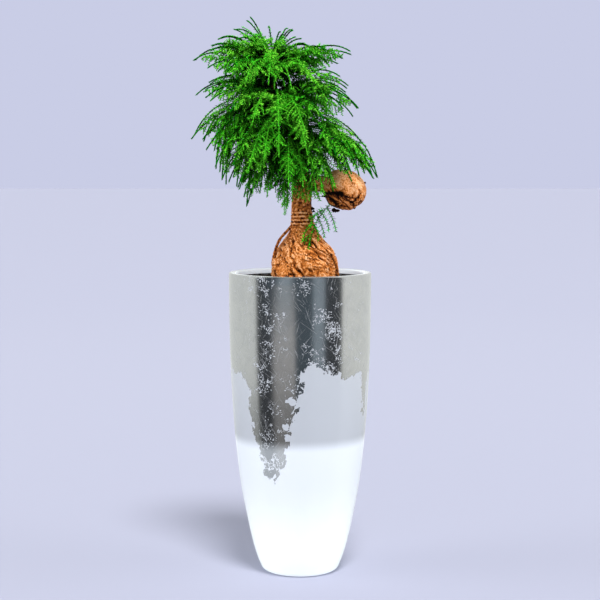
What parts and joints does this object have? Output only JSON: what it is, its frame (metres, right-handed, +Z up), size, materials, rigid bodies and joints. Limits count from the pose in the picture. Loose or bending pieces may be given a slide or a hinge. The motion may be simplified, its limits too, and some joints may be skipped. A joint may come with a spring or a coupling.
{
  "type": "araucaria bonsai",
  "caption": "Araucaria bonsai with a swollen root base, a knobbed limb and feathery drooping fronds, standing in a tall round silver-leafed white planter.",
  "frame": {"origin": "centre of the planter's flat foot", "axes": "+Z up along the planter's axis, +X to the knob's side, the picture's front faces -Y"},
  "size_m": [0.4857, 0.4087, 1.4383],
  "materials": {
    "planter": "plain white gloss, with a worn silver leaf over the upper half",
    "soil": "dark, crumbly potting soil",
    "bark": "orange-brown bark with twisted ridges, smooth on the knob",
    "foliage": "bright green awl needles, darker towards the leader"
  },
  "bodies": {
    "root": {"planter": "planter", "soil": "soil", "trunk": "bark", "frond_apex_01": "foliage", "frond_apex_02": "foliage", "frond_apex_03": "foliage", "frond_apex_04": "foliage", "frond_apex_05": "foliage", "frond_apex_06": "foliage", "frond_apex_07": "foliage", "frond_crown_01": "foliage", "frond_crown_02": "foliage", "frond_crown_03": "foliage", "frond_crown_04": "foliage", "frond_crown_05": "foliage", "frond_crown_06": "foliage", "frond_crown_07": "foliage", "frond_crown_08": "foliage", "frond_crown_09": "foliage", "frond_crown_10": "foliage", "frond_crown_11": "foliage", "frond_upper_01": "foliage", "frond_upper_02": "foliage", "frond_upper_03": "foliage", "frond_upper_04": "foliage", "frond_upper_05": "foliage", "frond_upper_06": "foliage", "frond_upper_07": "foliage", "frond_upper_08": "foliage", "frond_upper_09": "foliage", "frond_upper_10": "foliage", "frond_upper_11": "foliage", "frond_upper_12": "foliage", "frond_upper_13": "foliage", "frond_middle_01": "foliage", "frond_middle_02": "foliage", "frond_middle_03": "foliage", "frond_middle_04": "foliage", "frond_middle_05": "foliage", "frond_middle_06": "foliage", "frond_middle_07": "foliage", "frond_middle_08": "foliage", "frond_middle_09": "foliage", "frond_middle_10": "foliage", "frond_lower_01": "foliage", "frond_lower_02": "foliage", "frond_lower_03": "foliage", "frond_lower_04": "foliage", "frond_lower_05": "foliage", "frond_lower_06": "foliage", "frond_lower_07": "foliage", "frond_lower_08": "foliage", "frond_lower_09": "foliage", "frond_lower_10": "foliage", "frond_lower_11": "foliage", "frond_lower_12": "foliage", "frond_lower_13": "foliage", "frond_lower_14": "foliage", "shoot_under_knob": "foliage"}
  },
  "joints": []
}
